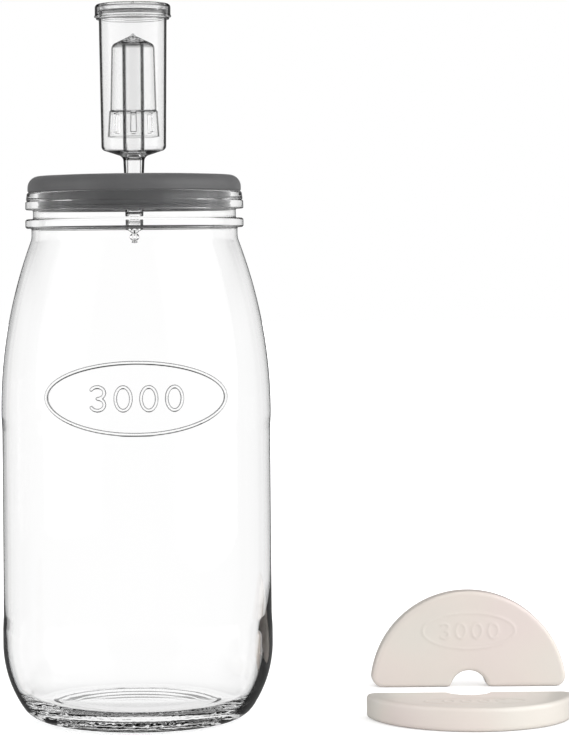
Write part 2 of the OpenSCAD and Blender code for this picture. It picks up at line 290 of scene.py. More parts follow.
def clearMaterial(name, look):
    # Clear glass or plastic with painted shade: its base colour is darker where it is seen edge-on, in place
    # of the dark surroundings that real glass shows there, and it lets the lamps through
    material, tree, shader = newMaterial(name)
    facing = addNode(tree, "ShaderNodeLayerWeight", {"Blend": 0.5}).outputs["Facing"]
    normal = parted(tree, tree.nodes.new("ShaderNodeTexCoord").outputs["Normal"])
    coords = objectCoords(tree)
    where = parted(tree, coords)
    flat = mapped(tree, where["Z"], *look["flatZ"], look["flat"], look["flatHigh"])
    upright = mapped(tree, maths(tree, "ABSOLUTE", normal["Z"]), *look["tilt"], 1.0, flat)
    squares = total(tree, product(tree, where["X"], where["X"]), product(tree, where["Y"], where["Y"]))
    # the painted shade reaches further in from the edges of walls that are thick for their radius, low down
    # or on the right
    low = mapped(tree, where["Z"], *look["lowZ"], 1.0, 0.0, smooth=True)
    right = mapped(tree, where["X"], *look["rightX"], look["thickLow"], look["thickRight"])
    slim = mapped(tree, maths(tree, "SQRT", squares), *look["slimR"], look["slim"], 1.0)
    thick = product(tree, total(tree, look["high"], product(tree, low, right)), slim)
    # the outer side of a wall faces away from the axis, and the normal turns round for a ray that comes
    # from inside
    outward = total(tree, product(tree, normal["X"], where["X"]), product(tree, normal["Y"], where["Y"]))
    turned = maths(tree, "SUBTRACT", 0.5, tree.nodes.new("ShaderNodeNewGeometry").outputs["Backfacing"])
    outside = maths(tree, "GREATER_THAN", product(tree, outward, turned), look["outerFrom"])
    side = mapped(tree, outside, 0.0, 1.0, look["inner"], 1.0)
    edgeOn = product(tree, facing, upright, thick, side)
    # painted shade also on the flanks of raised lines, and where two walls lie together: they count as seen
    # edge-on too
    gap = addNode(tree, "ShaderNodeAttribute", attribute_name="markGap").outputs["Fac"]
    away = maths(tree, "ABSOLUTE", maths(tree, "SUBTRACT", gap, look["lineAt"]))
    flank = mapped(tree, away, *look["lineFade"], look["line"], look["line"] * look["lineRest"])
    seamLow, seamHigh = look["seamZ"]
    seam = product(tree, maths(tree, "GREATER_THAN", where["Z"], seamLow),
                   maths(tree, "LESS_THAN", where["Z"], seamHigh), look["seam"])
    # painted shade: this ramp takes the base colour from clear to near black where the surface counts as seen
    # edge-on
    paintedShade = ramp(tree, maths(tree, "MAXIMUM", edgeOn, maths(tree, "MAXIMUM", flank, seam)), [
        (0, look["clear"]), (look["edgeFrom"], look["clear"]), (look["edgeMid"], look["mid"]),
        (look["edgeTo"], look["edge"]), (1, look["rim"])])
    tree.links.new(paintedShade, shader.inputs["Base Color"])
    shader.inputs["Specular Tint"].default_value = look["gloss"]
    shader.inputs["Roughness"].default_value = look["roughness"]
    shader.inputs["IOR"].default_value = look["ior"]
    shader.inputs["Transmission Weight"].default_value = 1
    bumped(tree, shader, noiseValue(tree, coords, look["waveScale"], 1), look["wave"], look["waveDepth"])
    path = tree.nodes.new("ShaderNodeLightPath").outputs
    letThrough(tree, shader, path["Is Shadow Ray"], look["shadow"])
    return material


# The darkening settings below are painted shade in the clear materials' base colour: at edges seen edge-on,
# on the flanks of raised lines and where two walls lie together
clearLook = dict(                     # what the clear materials share, with its lengths in metres
    gloss=(0.12, 0.12, 0.12, 1), roughness=0.0, waveDepth=0.001,
    tilt=(0.55, 0.9),                 # the normal's heights between which an upright surface turns flat
    flat=0.3, flatHigh=0.3,           # how far a flat surface darkens, low down and high up
    flatZ=(0.1, 0.15),
    high=1.0, lowZ=(0.0, 0.01),       # how far a wall darkens, and the heights where the thick foot ends
    thickLow=0.0, thickRight=0.0,     # what the foot adds, on the left and on the right
    rightX=(0.01, 0.05),
    slim=1.0, slimR=(0.0045, 0.01),   # the same for a slim tube, and the radii where it ends
    inner=0.6, outerFrom=-0.0002,     # the share for the inner side of a wall
    line=0.0, lineAt=0.0,             # how far the flank of a raised line darkens, at lineAt from its middle
    lineFade=(0.0, 1.0), lineRest=0.7,
    seam=0.0, seamZ=(0.0, 0.0),       # how far two walls that lie together darken, between two heights
)
# mid, edge and rim are the painted shade colours, from partly to almost fully dark towards an edge
glassLook = dict(
    clearLook, clear=(1.0, 1.0, 1.0), mid=(0.6, 0.605, 0.605), edge=(0.0012, 0.0012, 0.0012),
    rim=(0.0005, 0.0005, 0.0005), edgeFrom=0.7, edgeMid=0.79, edgeTo=0.85, flatHigh=1.0, high=0.93,
    lowZ=(0.035, 0.07), thickLow=0.19, thickRight=0.42, line=0.848, lineAt=0.69 * mm,
    lineFade=(0.1 * mm, 0.5 * mm), ior=1.5, wave=0.06, waveScale=35, shadow=(0.93, 0.94, 0.94))
plasticLook = dict(
    clearLook, clear=(0.955, 0.955, 0.955), mid=(0.8, 0.8, 0.8), edge=(0.0015, 0.0015, 0.0015),
    rim=(0.0004, 0.0004, 0.0004), edgeFrom=0.3, edgeMid=0.585, edgeTo=0.64, slim=1.9, seam=0.6,
    seamZ=(0.358, 0.3602), ior=1.55, wave=0.03, waveScale=120, shadow=(0.9, 0.91, 0.91))
bellLook = dict(plasticLook, slim=1.0, flat=0.75, flatHigh=0.75)
siliconeLook = dict(
    color=(0.088, 0.088, 0.09), pale=(0.1, 0.1, 0.102), cloudScale=60, cloudFrom=0.35, cloudTo=0.7,
    roughness=0.46, roughest=0.56, grainScale=2600, grain=0.12, grainDepth=0.2 * mm, sheen=0.15,
    sheenRoughness=0.4)
ceramicLook = dict(
    color=(0.735, 0.667, 0.613), pink=(0.735, 0.646, 0.609), green=(0.716, 0.674, 0.618), cloudScale=14,
    pinkAt=0.36, colorAt=0.5, greenAt=0.62, roughness=0.32, speckScale=500, speck=0.05,
    speckDepth=0.4 * mm, coat=0.35, coatRoughness=0.12)


def siliconeMaterial():
    look = siliconeLook
    material, tree, shader = newMaterial("lidSilicone")
    coords = objectCoords(tree)
    cloud = noiseValue(tree, coords, look["cloudScale"], 3)
    shade = ramp(tree, cloud, [(look["cloudFrom"], look["color"]), (look["cloudTo"], look["pale"])])
    tree.links.new(shade, shader.inputs["Base Color"])
    bumped(tree, shader, noiseValue(tree, coords, look["grainScale"], 2), look["grain"], look["grainDepth"])
    rough = mapped(tree, cloud, 0.0, 1.0, look["roughness"], look["roughest"])
    tree.links.new(rough, shader.inputs["Roughness"])
    shader.inputs["Sheen Weight"].default_value = look["sheen"]
    shader.inputs["Sheen Roughness"].default_value = look["sheenRoughness"]
    return material


def ceramicMaterial():
    look = ceramicLook
    material, tree, shader = newMaterial("weightCeramic")
    coords = objectCoords(tree)
    cloud = noiseValue(tree, coords, look["cloudScale"], 1)
    glaze = ramp(tree, cloud, [
        (look["pinkAt"], look["pink"]), (look["colorAt"], look["color"]), (look["greenAt"], look["green"])])
    tree.links.new(glaze, shader.inputs["Base Color"])
    bumped(tree, shader, noiseValue(tree, coords, look["speckScale"], 2), look["speck"], look["speckDepth"])
    shader.inputs["Roughness"].default_value = look["roughness"]
    shader.inputs["Coat Weight"].default_value = look["coat"]
    shader.inputs["Coat Roughness"].default_value = look["coatRoughness"]
    return material


jarGlass = clearMaterial("jarGlass", glassLook)
airlockPlastic = clearMaterial("airlockPlastic", plasticLook)
bellPlastic = clearMaterial("bellPlastic", bellLook)
lidSilicone = siliconeMaterial()
weightCeramic = ceramicMaterial()
print("materials made")


# Turned pieces: a tree that sweeps a profile once round the Z axis

weldGap = 0.004 * mm                  # points as close as this become one
turnedInputs = {
    "Segments": ("NodeSocketInt", 256),
    "Front Share": ("NodeSocketFloat", 0.25),     # above a quarter, the facets are finer at the front
    "Marks": ("NodeSocketObject", None),          # lines in the XZ plane that are raised on the front
    "Mark Width": ("NodeSocketFloat", 1.6 * mm),
    "Mark Height": ("NodeSocketFloat", 0.6 * mm),
    "Mark Top": ("NodeSocketFloat", 0.2),         # half widths of a mark, at its top and at its foot,
    "Mark Foot": ("NodeSocketFloat", 0.72),       # as shares of the mark's width
    "Stipple": ("NodeSocketFloat", 0.0),          # depth of the random texture where the profile asks for it
    "Stipple Scale": ("NodeSocketFloat", 520.0),
    "Uneven Wall": ("NodeSocketFloat", 0.0),      # extra wall on the +X side where the profile asks for it
    "Material": ("NodeSocketMaterial", None),
}


def profileValue(tree, given, row, name):
    field = addNode(tree, "GeometryNodeInputNamedAttribute", {"Name": name}, data_type="FLOAT").outputs[0]
    return addNode(tree, "GeometryNodeSampleIndex", {
        "Geometry": given["Geometry"], "Value": field, "Index": row},
        data_type="FLOAT", domain="POINT").outputs[0]


def makeTurnedTree():
    tree, given = newTree("turned", turnedInputs)
    count = addNode(tree, "GeometryNodeAttributeDomainSize", {
        "Geometry": given["Geometry"]}).outputs["Point Count"]
    columns = maths(tree, "ADD", given["Segments"], 1)
    grid = addNode(tree, "GeometryNodeMeshGrid", {
        "Size X": 1, "Size Y": 1, "Vertices X": columns, "Vertices Y": count}).outputs["Mesh"]
    position = tree.nodes.new("GeometryNodeInputPosition").outputs[0]
    across = parted(tree, position)
    row = product(tree, total(tree, across["Y"], 0.5), maths(tree, "SUBTRACT", count, 1))
    row = maths(tree, "ROUND", row)
    point = addNode(tree, "GeometryNodeSampleIndex", {
        "Geometry": given["Geometry"], "Value": position, "Index": row},
        data_type="FLOAT_VECTOR", domain="POINT").outputs[0]
    point = parted(tree, point)
    # the front quarter of the turn gets the share of the facets that is asked for
    half = product(tree, given["Front Share"], 0.5)
    off = maths(tree, "ABSOLUTE", across["X"])
    inFront = mapped(tree, off, 0.0, half, 0.0, 1 / 8)
    behind = mapped(tree, off, half, 0.5, 0.0, 3 / 8)
    turn = product(tree, total(tree, inFront, behind), maths(tree, "SIGN", across["X"]))
    angle = maths(tree, "SUBTRACT", product(tree, turn, 2 * math.pi), math.pi / 2)
    cosine, sine = maths(tree, "COSINE", angle), maths(tree, "SINE", angle)
    x, y = product(tree, point["X"], cosine), product(tree, point["X"], sine)
    # raised marks on the front
    marks = addNode(tree, "GeometryNodeObjectInfo", {"Object": given["Marks"]}).outputs["Geometry"]
    closest = addNode(tree, "GeometryNodeProximity", {
        0: marks, "Sample Position": joined(tree, X=x, Z=point["Z"])}, target_element="EDGES").outputs
    top, foot = (product(tree, given["Mark Width"], given[key]) for key in ("Mark Top", "Mark Foot"))
    height = mapped(tree, closest["Distance"], top, foot, given["Mark Height"], 0.0, smooth=True)
    front = product(tree, maths(tree, "LESS_THAN", sine, 0), closest["Is Valid"])
    marked = profileValue(tree, given, row, "marked")
    raised = product(tree, height, front, marked)
    # stipple and uneven wall
    noise = noiseValue(tree, joined(tree, X=x, Y=y, Z=point["Z"]), given["Stipple Scale"], 0)
    rough = product(tree, maths(tree, "SUBTRACT", noise, 0.5),
                    product(tree, given["Stipple"], profileValue(tree, given, row, "stippled")))
    side = maths(tree, "POWER", maths(tree, "MAXIMUM", cosine, 0), 3)
    wall = product(tree, side, given["Uneven Wall"], profileValue(tree, given, row, "uneven"))
    radius = maths(tree, "SUBTRACT", total(tree, point["X"], total(tree, raised, rough)), wall)
    rise = maths(tree, "MAXIMUM", total(tree, point["Z"], product(tree, rough, 0.5)), 0)
    turned = joined(tree, X=product(tree, radius, cosine), Y=product(tree, radius, sine), Z=rise)
    # an attribute for the material: how far a point is from the marks, and much more where there are none
    bare = maths(tree, "SUBTRACT", 1, product(tree, front, marked))
    noted = addNode(tree, "GeometryNodeStoreNamedAttribute", {
        "Geometry": grid, "Name": "markGap", "Value": total(tree, closest["Distance"], bare)},
        data_type="FLOAT", domain="POINT").outputs[0]
    moved = addNode(tree, "GeometryNodeSetPosition", {"Geometry": noted, "Position": turned}).outputs[0]
    merged = addNode(tree, "GeometryNodeMergeByDistance", {"Geometry": moved, "Distance": weldGap}).outputs[0]
    finishTree(tree, merged, given["Material"])
    return tree


turnedTree = makeTurnedTree()


def turnedPiece(name, points, material, closed=True, weights=None, **values):
    # points: (radius, height) in millimetres, with material on the left of their way
    line = list(points) + ([points[0]] if closed else [])
    profile = wireObject(name + "Profile", [[(r * mm, 0, z * mm) for r, z in line]])
    for key, rule in (weights or {}).items():
        attribute = profile.data.attributes.new(key, "FLOAT", "POINT")
        for k, (r, z) in enumerate(line):
            attribute.data[k].value = rule(k, r, z)
    return baked(profile, name, turnedTree, {"Material": material, **values})


def fixNormals(obj):
    work = bmesh.new()
    work.from_mesh(obj.data)
    bmesh.ops.remove_doubles(work, verts=work.verts, dist=weldGap)
    bmesh.ops.dissolve_degenerate(work, edges=work.edges, dist=weldGap / 4)
    bmesh.ops.recalc_face_normals(work, faces=work.faces)
    if work.calc_volume(signed=True) < 0:
        bmesh.ops.reverse_faces(work, faces=work.faces)
    work.to_mesh(obj.data)
    work.free()
    return obj


# Glass jar

jar = dict(
    bodyR=68.8, height=268, wall=3, panelInset=0.4, panelRound=20, heelZ=38.5, lowerBand=9.5,
    shoulderZ=156, upperBand=4, heelFlankR=57, heelCornerR=14.5, floorT=8, floorCornerR=16, ringW=3, puntH=4,
    neckR=52.6, neckH=3.8, neckFillet=8, rimR=55.7, ridgeH=4.5, ridgeGroove=0.9, grooveR=51.8, grooveH=4.7,
    beadH=4.8, beadRound=1.2, grooveRound=0.8, segments=256, frontShare=0.58, sharpAngle=50,
    stipple=0.7, stippleTop=12,       # under the heel
    wedge=2.2, wedgeZ=32, wedgeSpan=24, fadeH=6,  # the uneven wall, and the height over which both fade
)
emblem = dict(centreZ=166.0, halfWidth=44.0, halfHeight=17.5, digitH=11.5, digitW=7.6, digitPitch=12.5,
              lineWidth=1.5, relief=0.7, margin=2)


def heelPoints(flankR, cornerR, z):
    heelC = (jar["bodyR"] - jar["heelFlankR"], jar["heelZ"])
    cornerC = (heelC[0] + math.sqrt((flankR - cornerR) ** 2 - (heelC[1] - z - cornerR) ** 2), z + cornerR)
    turn = math.degrees(math.atan2(cornerC[1] - heelC[1], cornerC[0] - heelC[0]))
    return arcPoints(cornerC, cornerR, -90, turn, 0.9) + arcPoints(heelC, flankR, turn, 0, 1.6)


def shoulderPoints(inset, pitch):
    neckZ = jar["height"] - 2 * jar["ridgeH"] - jar["grooveH"] - jar["beadH"] - jar["neckH"]
    fillet = jar["neckFillet"]
    hollowC = (jar["neckR"] + fillet, neckZ)
    inward, rise = hollowC[0] - jar["bodyR"], neckZ - jar["shoulderZ"]
    radius = (inward ** 2 + rise ** 2 - fillet ** 2) / (2 * (jar["bodyR"] - jar["neckR"]))
    centre = (jar["bodyR"] - radius, jar["shoulderZ"])
    turn = math.degrees(math.atan2(hollowC[1] - centre[1], hollowC[0] - centre[0]))
    low = arcPoints(centre, radius - inset, 0, turn, pitch)
    return low + arcPoints(hollowC, fillet + inset, 180 + turn, 180, 0.8)


def ellipseLine(halfW, halfH, centreX, centreZ, steps=160):
    turns = [2 * math.pi * k / steps for k in range(steps + 1)]
    return [((centreX + halfW * math.cos(a)) * mm, 0, (centreZ + halfH * math.sin(a)) * mm) for a in turns]


def digitLines(text, centreX, centreZ, width, height, pitch):
    # Plain numerals from arcs: only 0 and 3 are needed
    lines = []
    for k, digit in enumerate(text):
        x = centreX + (k - (len(text) - 1) / 2) * pitch
        if digit == "0":
            lines.append(ellipseLine(width / 2, height / 2, x, centreZ, 40))
        else:
            bowl = height / 4
            curve = arcPoints((0, bowl), bowl, 150, -90, 0.5) + arcPoints((0, -bowl), bowl, 90, -150, 0.5)
            widen = width / 2 / bowl * 0.9
            lines.append([((x + px * widen) * mm, 0, (centreZ + pz) * mm) for px, pz in curve])
    return lines


def makeJar():
    groove = jar["height"] - 2 * jar["ridgeH"]
    beadTop = groove - jar["grooveH"]
    beadBottom = beadTop - jar["beadH"]
    bodyR, rimR, height, wall, floorT = (jar[key] for key in ("bodyR", "rimR", "height", "wall", "floorT"))
    panelR, panelRound = bodyR - jar["panelInset"], jar["panelRound"]
    panelLow, panelHigh = jar["heelZ"] + jar["lowerBand"], jar["shoulderZ"] - jar["upperBand"]
    beadRound, grooveRound = jar["beadRound"], jar["grooveRound"]
    ridgeZ, halfGroove = groove + jar["ridgeH"], jar["ridgeGroove"] / 2
    heel = heelPoints(jar["heelFlankR"], jar["heelCornerR"], 0)
    ringR = heel[0][0] - jar["ringW"]
    mouthR = jar["neckR"] - wall
    under = [
        (0, jar["puntH"]), (ringR * 0.72, jar["puntH"] * 0.8, 20), (ringR - 2.5, jar["puntH"] * 0.45, 2),
        (ringR, 0, 1)]
    panel = [
        (bodyR, panelLow - 2, panelRound), (panelR, panelLow + 5, panelRound),
        (panelR, panelHigh - 5, panelRound), (bodyR, panelHigh + 2, panelRound)]
    finish = [
        (jar["neckR"], beadBottom, grooveRound), (rimR, beadBottom, beadRound), (rimR, beadTop, beadRound),
        (jar["grooveR"], beadTop, grooveRound), (jar["grooveR"], groove, grooveRound),
        (rimR, groove, grooveRound), (rimR - 0.1, ridgeZ - halfGroove, 0.4),
        (rimR - jar["ridgeGroove"], ridgeZ), (rimR - 0.4, ridgeZ + halfGroove, 0.4),
        (rimR - 0.9, height, 1.4), (mouthR, height, 1.4)]
    neckInside = shoulderPoints(wall, 3.5)[::-1]
    outer = roundedOutline(under + heel + panel + shoulderPoints(0, 1.4) + finish + neckInside)
    cut = len(outer) - len(neckInside)
    wallFoot = (bodyR - wall, jar["heelZ"] + 1)
    bottom = heelPoints(jar["heelFlankR"] - wall, jar["floorCornerR"], floorT)[::-1] + [(0, floorT)]
    inner = subdivided(outer[cut:] + [wallFoot], 4) + bottom
    markReach = emblem["halfHeight"] + emblem["margin"]
    low, high = emblem["centreZ"] - markReach, emblem["centreZ"] + markReach
    outside = subdivided(outer[:cut], 0.6, low, high)
    last = len(outside)

    def marked(k, r, z):
        return float(k < last and low < z < high)

    def stippled(k, r, z):
        below = jar["stippleTop"] - z
        return float(k < last and below > 0 and r > ringR - 1) * min(1, below / jar["fadeH"])

    def uneven(k, r, z):
        swell = math.exp(-((z - jar["wedgeZ"]) / jar["wedgeSpan"]) ** 2)
        return float(k >= last) * swell * min(1, max(0, z - floorT) / jar["fadeH"])

    marks = wireObject("marks", [
        ellipseLine(emblem["halfWidth"], emblem["halfHeight"], 0, emblem["centreZ"]),
        *digitLines("3000", 0, emblem["centreZ"], emblem["digitW"], emblem["digitH"], emblem["digitPitch"])])
    piece = turnedPiece(
        "glassJar", outside + inner, jarGlass, closed=False,
        weights={"marked": marked, "stippled": stippled, "uneven": uneven},
        **{"Segments": jar["segments"], "Front Share": jar["frontShare"], "Marks": marks,
           "Mark Width": emblem["lineWidth"] * mm, "Mark Height": emblem["relief"] * mm,
           "Stipple": jar["stipple"] * mm, "Uneven Wall": jar["wedge"] * mm})
    bpy.data.objects.remove(marks)
    piece = smoothed(piece, jar["sharpAngle"])
    place(piece, "jar", "glass_jar", jarGlass)


makeJar()
print("jar made")


# Stopper lid

lid = dict(r=54.5, thick=9.2, fall=1.2, edgeR=6, domeR=60, plugH=9.1, fit=0.1, ribDepth=1.1, ribs=2, skirt=7,
           bossR=11, hollowH=6.5, holeR=4.8, landR=8, segments=200, sharpAngle=35)


def makeLid():
    rimZ = jar["height"]
    top = rimZ + lid["thick"]
    bottom = rimZ - lid["plugH"]
    plugR = jar["neckR"] - jar["wall"] - lid["fit"]
    pitch = lid["plugH"] / 2 / lid["ribs"]
    corners = [
        (lid["holeR"], top, 0.3), (lid["landR"], top),
        (lid["r"] * 0.7, top - lid["fall"] * 0.45, lid["domeR"]),
        (lid["r"], top - lid["fall"], lid["edgeR"]), (lid["r"], rimZ, 0.8), (plugR, rimZ, 0.3),
        (plugR, bottom + lid["ribs"] * pitch + 0.3, 0.3)]
    for k in range(lid["ribs"], 0, -1):
        ribTop = bottom + k * pitch
        corners += [(plugR - lid["ribDepth"], ribTop, 0.2), (plugR, ribTop - pitch * 0.3, 0.3),
                    (plugR - lid["ribDepth"] * 0.5, ribTop - pitch * 0.9)]
    skirtR, hollowTop = plugR - lid["skirt"], bottom + lid["hollowH"]
    corners += [
        (plugR - lid["ribDepth"], bottom, 0.4), (skirtR + 0.6, bottom, 0.5), (skirtR, hollowTop, 2),
        (lid["bossR"] + 0.4, hollowTop, 2), (lid["bossR"], bottom, 0.5), (lid["holeR"], bottom, 0.3)]
    piece = turnedPiece("stopperLid", roundedOutline(corners), lidSilicone, Segments=lid["segments"])
    piece = smoothed(piece, lid["sharpAngle"])
    place(piece, "lid", "stopper_lid", lidSilicone)


makeLid()
print("lid made")


# Trees that cut: a ring of slots or holes, and the crossed vanes of the drip tip

def boolean(tree, operation, first, *others):
    # In a difference the others are cut from the first; a union or a meeting takes them all alike
    node = tree.nodes.new("GeometryNodeMeshBoolean")
    node.operation = operation
    node.solver = "EXACT"
    if operation == "DIFFERENCE":
        tree.links.new(first, node.inputs["Mesh 1"])
    for mesh in others if operation == "DIFFERENCE" else (first, *others):
        tree.links.new(mesh, node.inputs["Mesh 2"])
    return node.outputs["Mesh"]


def makePiercedTree():
    tree, given = newTree("pierced", {
        "Count": ("NodeSocketInt", 8), "Ring Radius": ("NodeSocketFloat", 0.01),
        "Height": ("NodeSocketFloat", 0.0), "Size": ("NodeSocketVector", (0.002, 0.002, 0.002)),
        "Round": ("NodeSocketBool", False),
        "Draft": ("NodeSocketFloat", 0.0),        # how much the sides of a slot widen outwards
        "Material": ("NodeSocketMaterial", None)})
    position = tree.nodes.new("GeometryNodeInputPosition").outputs[0]
    ring = addNode(tree, "GeometryNodeMeshCircle", {
        "Vertices": given["Count"], "Radius": given["Ring Radius"]}).outputs[0]
    ring = addNode(tree, "GeometryNodeTransform", {
        0: ring, "Translation": joined(tree, Z=given["Height"]), "Rotation": (0, 0, -math.pi / 2)}).outputs[0]
    # the cutter: a box with drafted sides, or a drum
    side = vectorMaths(tree, "SIGN", {0: position})[0]
    side = vectorMaths(tree, "MULTIPLY", {0: side, 1: (0, 1, 1)})[0]
    widen = product(tree, parted(tree, position)["X"], given["Draft"])
    spread = vectorMaths(tree, "SCALE", {0: side, "Scale": widen})[0]
    box = addNode(tree, "GeometryNodeMeshCube", {"Size": given["Size"]}).outputs["Mesh"]
    box = addNode(tree, "GeometryNodeSetPosition", {"Geometry": box, "Offset": spread}).outputs[0]
    size = parted(tree, given["Size"])
    drum = addNode(tree, "GeometryNodeMeshCylinder", {
        "Vertices": 24, "Radius": product(tree, size["X"], 0.5), "Depth": size["Z"]}).outputs["Mesh"]
    cutter = addNode(tree, "GeometryNodeSwitch", {
        "Switch": given["Round"], "False": box, "True": drum}, input_type="GEOMETRY").outputs[0]
    outward = vectorMaths(tree, "MULTIPLY", {0: position, 1: (1, 1, 0)})[0]
    turn = addNode(tree, "FunctionNodeAlignRotationToVector", {"Vector": outward},
                   axis="X", pivot_axis="Z").outputs[0]
    cutters = addNode(tree, "GeometryNodeInstanceOnPoints", {
        "Points": ring, "Instance": cutter, "Rotation": turn}).outputs[0]
    cutters = addNode(tree, "GeometryNodeRealizeInstances", {0: cutters}).outputs[0]
    finishTree(tree, boolean(tree, "DIFFERENCE", given["Geometry"], cutters), given["Material"])
    return tree


def makeTippedTree():
    tree, given = newTree("tipped", {
        "Tip": ("NodeSocketObject", None), "Vane": ("NodeSocketFloat", 1.1 * mm),
        "Reach": ("NodeSocketFloat", 0.02), "Height": ("NodeSocketFloat", 0.0),
        "Material": ("NodeSocketMaterial", None)})
    tip = addNode(tree, "GeometryNodeObjectInfo", {"Object": given["Tip"]}).outputs["Geometry"]
    size = joined(tree, X=given["Reach"], Y=given["Vane"], Z=given["Reach"])
    lift = joined(tree, Z=given["Height"])
    vane = addNode(tree, "GeometryNodeMeshCube", {"Size": size}).outputs["Mesh"]
    vanes = [addNode(tree, "GeometryNodeTransform", {
        0: vane, "Translation": lift, "Rotation": (0, 0, math.radians(turn))}) for turn in (45, 135)]
    cross = boolean(tree, "UNION", *(turned.outputs[0] for turned in vanes))
    crossed = boolean(tree, "INTERSECT", tip, cross)
    finishTree(tree, boolean(tree, "UNION", given["Geometry"], crossed), given["Material"])
    return tree


piercedTree = makePiercedTree()
tippedTree = makeTippedTree()


# Airlock: cup with its stem, chimney and drip tip, the slotted bell and the vented cap

cup = dict(stemR=4.75, stemEndR=4.4, stemShoulder=0.35, stemTopR=5.5, stemWall=1.2, stemAbove=8.7,
           stemBelow=10.4, height=76.5, topR=17.4, bottomR=16.5, wall=1.15, chimneyR=5.5, chimneyH=58.6,
           chimneyWall=1.2, floorFall=18, ledgeR=18.7, ledgeT=0.9, beadH=2, tipBallR=2.9, tipWaistR=1.2,
           tipWaistDrop=1.8, tipPlug=3, vane=1.1, vaneReach=20, segments=128, tipSegments=96)
cap = dict(r=19.35, lipR=19.7, height=6.7, thick=1.5, wall=1.2, fit=0.08, gap=0.3, edgeR=1.9, cornerR=0.4,
           vents=5, ventR=0.75, ventRing=12, segments=160)
bell = dict(topR=11.05, stepR=11.85, skirtTopR=12.45, skirtR=13.3, height=52.5, skirtH=13.2, coneSlope=26,
            wall=1.0, shoulderR=3.3, stepH=0.5, draft=0.35, seatGap=0.08, slots=8, slotW=2.6, slotH=9.4,
            slotRing=2.6, segments=128)
airlockSharpAngle = 32

lidTop = jar["height"] + lid["thick"]
stemEnd = jar["height"] - lid["plugH"] - cup["stemBelow"]
cupFloor = lidTop + cup["stemAbove"]
cupRim = cupFloor + cup["height"]
chimneyTop = cupFloor + cup["chimneyH"]
capTop = cupRim + cap["thick"]
ledgeTop = capTop - cap["height"] - cap["gap"]
capBore = cap["r"] - cap["wall"]
fallTan = math.tan(math.radians(cup["floorFall"]))
coneTan = math.tan(math.radians(bell["coneSlope"]))
boreR = cup["stemEndR"] - cup["stemWall"]


def makeTip():
    ballR, waistR = cup["tipBallR"], cup["tipWaistR"]
    waistZ = stemEnd - cup["tipWaistDrop"]
    ballZ = waistZ - math.sqrt(ballR ** 2 - waistR ** 2)
    plugR, plugTop = cup["stemEndR"] - cup["stemWall"] / 2, stemEnd + cup["tipPlug"]
    ball = arcPoints((0, ballZ), ballR, -90, math.degrees(math.acos(waistR / ballR)), 0.2)
    points = ball + [(cup["stemEndR"], stemEnd), (plugR, stemEnd), (plugR, plugTop), (0, plugTop)]
    tip = turnedPiece("tip", points, airlockPlastic, closed=False, Segments=cup["tipSegments"])
    return fixNormals(tip), ballZ


def makeCup():
    floorRise = (cup["bottomR"] - cup["stemTopR"]) * fallTan
    floorInner = cupFloor + cup["wall"] / math.cos(math.radians(cup["floorFall"]))
    lean = (cup["topR"] - cup["bottomR"]) / (cup["height"] - floorRise)
    ledgeWall = cup["topR"] - (cupRim - ledgeTop) * lean
    footR = cup["chimneyR"] + 0.6
    beadR = capBore - cap["fit"]
    boreStep = cupFloor + 1.5
    chimneyBore = cup["chimneyR"] - cup["chimneyWall"]
    corners = [
        (cup["stemEndR"], stemEnd, 0.25), (cup["stemR"], jar["height"] - lid["plugH"] - 1, 1),
        (cup["stemR"], lidTop), (cup["stemR"] + cup["stemShoulder"], lidTop), (cup["stemTopR"], cupFloor, 3),
        (cup["bottomR"], cupFloor + floorRise, 2.5),
        (ledgeWall, ledgeTop - cup["ledgeT"], 0.2), (cup["ledgeR"], ledgeTop - cup["ledgeT"], 0.3),
        (cup["ledgeR"], ledgeTop, 0.3), (ledgeWall, ledgeTop, 0.2),
        (cup["topR"], cupRim - cup["beadH"] - 0.6, 0.3), (beadR, cupRim - cup["beadH"], 0.3),
        (beadR, cupRim, 0.7), (cup["topR"] - cup["wall"], cupRim, 0.3),
        (cup["bottomR"] - cup["wall"], cupFloor + floorRise, 2),
        (footR, floorInner + (footR - cup["stemTopR"]) * fallTan, 1),
        (cup["chimneyR"], floorInner + 4, 4), (cup["chimneyR"], chimneyTop, 0.15),
        (chimneyBore, chimneyTop + cup["chimneyWall"] * coneTan, 0.15),
        (chimneyBore, boreStep + 6, 4), (boreR + 0.4, boreStep, 3), (boreR, stemEnd, 0.25)]
    tip, tipZ = makeTip()
    body = turnedPiece("cupBody", roundedOutline(corners), airlockPlastic, Segments=cup["segments"])
    piece = baked(fixNormals(body), "airlockCup", tippedTree, {
        "Tip": tip, "Vane": cup["vane"] * mm, "Reach": cup["vaneReach"] * mm, "Height": tipZ * mm,
        "Material": airlockPlastic})
    bpy.data.objects.remove(tip)
    piece = smoothed(piece, airlockSharpAngle)
    place(piece, "airlock", "airlock_cup", airlockPlastic)


